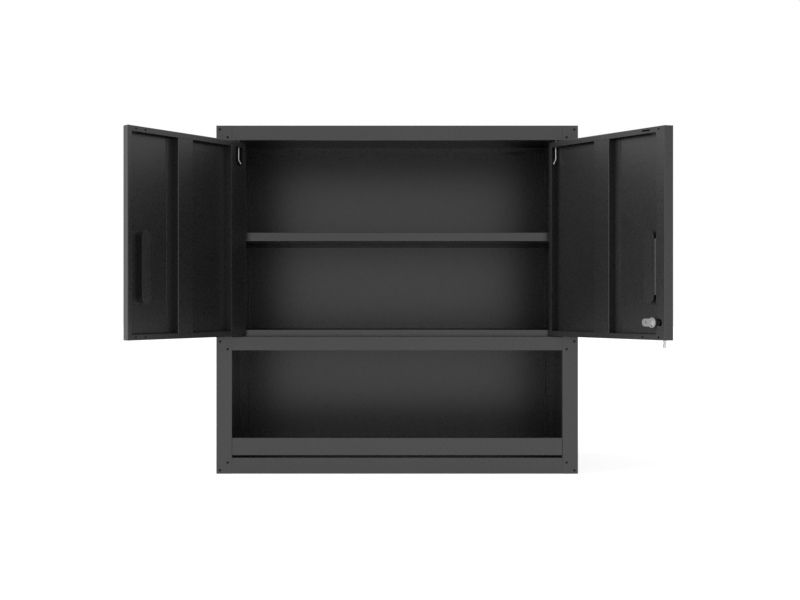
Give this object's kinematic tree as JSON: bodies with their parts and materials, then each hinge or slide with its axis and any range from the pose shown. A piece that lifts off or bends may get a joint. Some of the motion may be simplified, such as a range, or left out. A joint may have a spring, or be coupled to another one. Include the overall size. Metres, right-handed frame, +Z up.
{
  "type": "tool cabinet",
  "caption": "Dark steel tool cabinet: swinging doors over an upper compartment with a shelf, an open bay below, sliding hinge bolts and a key-operated cam lock.",
  "frame": {"origin": "middle of the cabinet's base, on the ground", "axes": "+X to the right as one faces the doors, +Y from the front to the back, +Z up"},
  "size_m": [1.098, 0.7381, 0.77],
  "materials": {
    "frame_paint": "fine-textured satin charcoal powder coat",
    "door_paint": "fine-textured satin charcoal powder coat",
    "handle_plastic": "moulded, satin",
    "corner_screw": "blackened, satin",
    "dark_screw": "black zinc-plated",
    "zinc_bracket": "zinc-plated sheet",
    "bush_nylon": "black nylon",
    "bolt_steel": "bright drawn wire",
    "lock_nickel": "nickel-plated, satin",
    "key_nickel": "nickel-plated brass"
  },
  "bodies": {
    "cabinet": {"left_side_panel": "frame_paint", "right_side_panel": "frame_paint", "top_panel": "frame_paint", "bottom_panel": "frame_paint", "floor_stiffener": "frame_paint", "back_panel": "frame_paint", "middle_rail": "frame_paint", "retaining_bar": "frame_paint", "upper_shelf": "frame_paint", "divider_shelf": "frame_paint", "shelf_brackets": "frame_paint", "divider_brackets": "frame_paint", "corner_screws": "corner_screw", "back_screws": "dark_screw", "bar_screws": "dark_screw", "upper_hinge_bushes": "bush_nylon", "lower_hinge_bushes": "bush_nylon"},
    "left_door": {"left_door_panel": "door_paint", "left_door_stiffener": "door_paint", "left_hinge_plate": "door_paint", "left_handle_cup": "handle_plastic", "left_bolt_bracket": "zinc_bracket", "left_lower_pivot": "bolt_steel"},
    "left_bolt": {"left_hinge_bolt": "bolt_steel", "left_bolt_spring": "bolt_steel"},
    "right_door": {"right_door_panel": "door_paint", "right_door_stiffener": "door_paint", "right_handle_cup": "handle_plastic", "right_bolt_bracket": "zinc_bracket", "right_lower_pivot": "bolt_steel", "lock_barrel": "lock_nickel", "barrel_nut": "lock_nickel"},
    "right_bolt": {"right_hinge_bolt": "bolt_steel", "right_bolt_spring": "bolt_steel"},
    "lock": {"lock_plug": "lock_nickel", "lock_cam": "lock_nickel", "cam_nut": "lock_nickel", "key": "key_nickel", "key_ring": "key_nickel"},
    "spare_key": {"spare_key": "key_nickel"}
  },
  "joints": [
    {"name": "left_door_hinge", "type": "hinge", "parent": "cabinet", "child": "left_door", "pos_m": [-0.3515, -0.213, 0.3033], "axis": [0, 0, 1], "range_deg": [-2.5, 122.9]},
    {"name": "right_door_hinge", "type": "hinge", "parent": "cabinet", "child": "right_door", "pos_m": [0.3515, -0.213, 0.3033], "axis": [0, 0, -1], "range_deg": [-2, 123.5]},
    {"name": "left_bolt_slide", "type": "slide", "parent": "left_door", "child": "left_bolt", "axis": [0, 0, -1], "range_m": [0, 0.006], "stiffness_N_per_m": 400, "springref_m": -0.004, "deforming": ["left_bolt_spring"]},
    {"name": "right_bolt_slide", "type": "slide", "parent": "right_door", "child": "right_bolt", "axis": [0, 0, -1], "range_m": [0, 0.006], "stiffness_N_per_m": 400, "springref_m": -0.004, "deforming": ["right_bolt_spring"]},
    {"name": "lock_turn", "type": "hinge", "parent": "right_door", "child": "lock", "pos_m": [0.53214, -0.47323, 0.3396], "axis": [-0.8339, -0.5519, 0], "range_deg": [0, 90]},
    {"name": "spare_key_swing", "type": "hinge", "parent": "lock", "child": "spare_key", "pos_m": [0.54131, -0.46716, 0.3296], "axis": [0.8339, 0.5519, 0], "range_deg": [-20, 90]}
  ]
}
